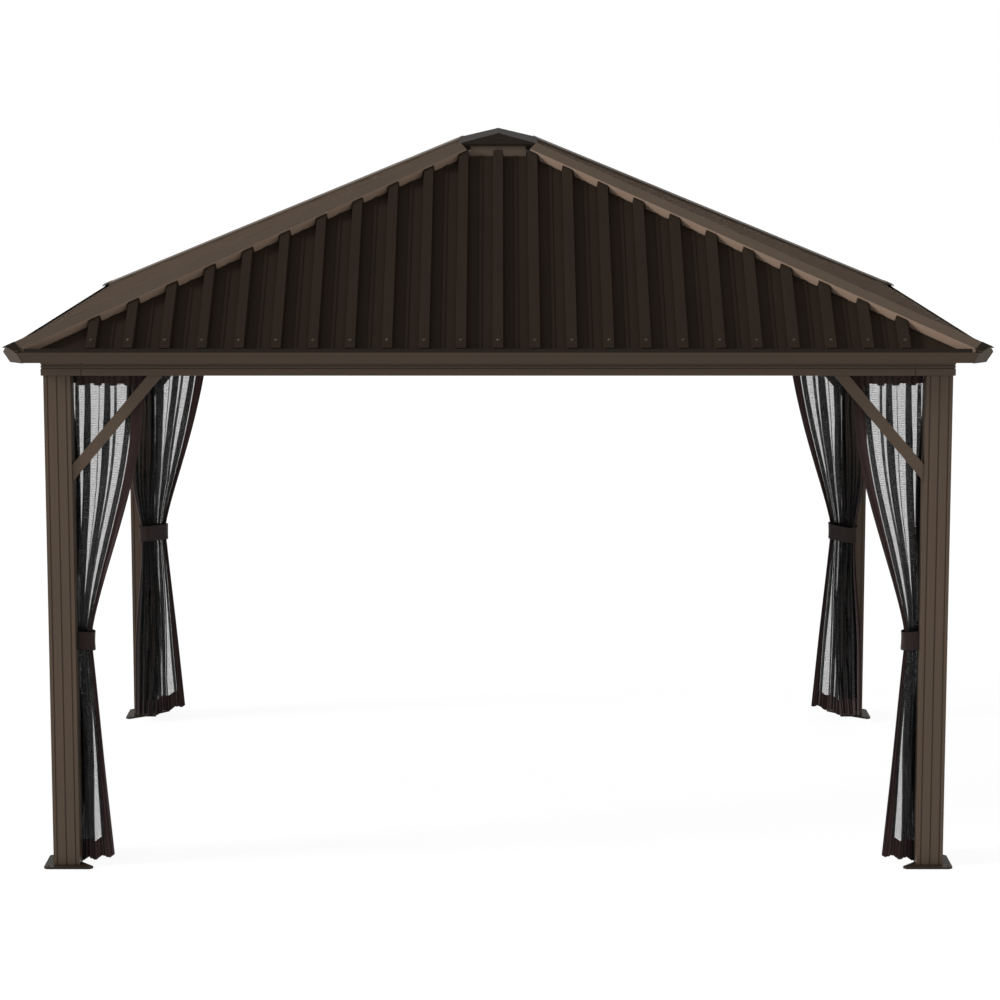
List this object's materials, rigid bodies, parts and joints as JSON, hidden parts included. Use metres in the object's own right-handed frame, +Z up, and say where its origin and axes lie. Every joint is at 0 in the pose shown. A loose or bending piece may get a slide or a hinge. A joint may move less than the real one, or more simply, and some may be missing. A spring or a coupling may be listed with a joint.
{
  "type": "metal gazebo",
  "caption": "Open rectangular garden gazebo: square metal posts with knee braces, hipped ribbed sheet roof with a raised ridge vent, gutters, and insect nets tied back at the posts.",
  "frame": {"origin": "middle of the footprint on the ground", "axes": "+X along the wider front to its right end, +Y from front to rear, +Z up"},
  "size_m": [3.6634, 3.0134, 2.754],
  "materials": {
    "frame": "satin brown powder coat",
    "roof": "dark brown coated steel",
    "trim": "satin brown powder coat",
    "net": "fine polyester mesh",
    "tie": "dark brown woven polyester"
  },
  "bodies": {
    "root": {"front_left_post": "frame", "front_left_foot": "frame", "front_left_hip_cap": "trim", "front_left_nets": "net", "front_right_post": "frame", "front_right_foot": "frame", "front_right_hip_cap": "trim", "front_right_nets": "net", "rear_right_post": "frame", "rear_right_foot": "frame", "rear_right_hip_cap": "trim", "rear_right_nets": "net", "rear_left_post": "frame", "rear_left_foot": "frame", "rear_left_hip_cap": "trim", "rear_left_nets": "net", "front_beam": "frame", "front_braces": "frame", "front_gutter": "trim", "front_roof": "roof", "right_beam": "frame", "right_braces": "frame", "right_gutter": "trim", "right_roof": "roof", "rear_beam": "frame", "rear_braces": "frame", "rear_gutter": "trim", "rear_roof": "roof", "left_beam": "frame", "left_braces": "frame", "left_gutter": "trim", "left_roof": "roof", "corner_blocks": "frame", "hip_rafters": "frame", "centre_rafters": "frame", "crown": "frame", "net_rails": "frame", "gutter_corners": "trim", "vent_skirt": "trim", "ridge_cap": "trim", "net_ties": "tie"}
  },
  "joints": []
}
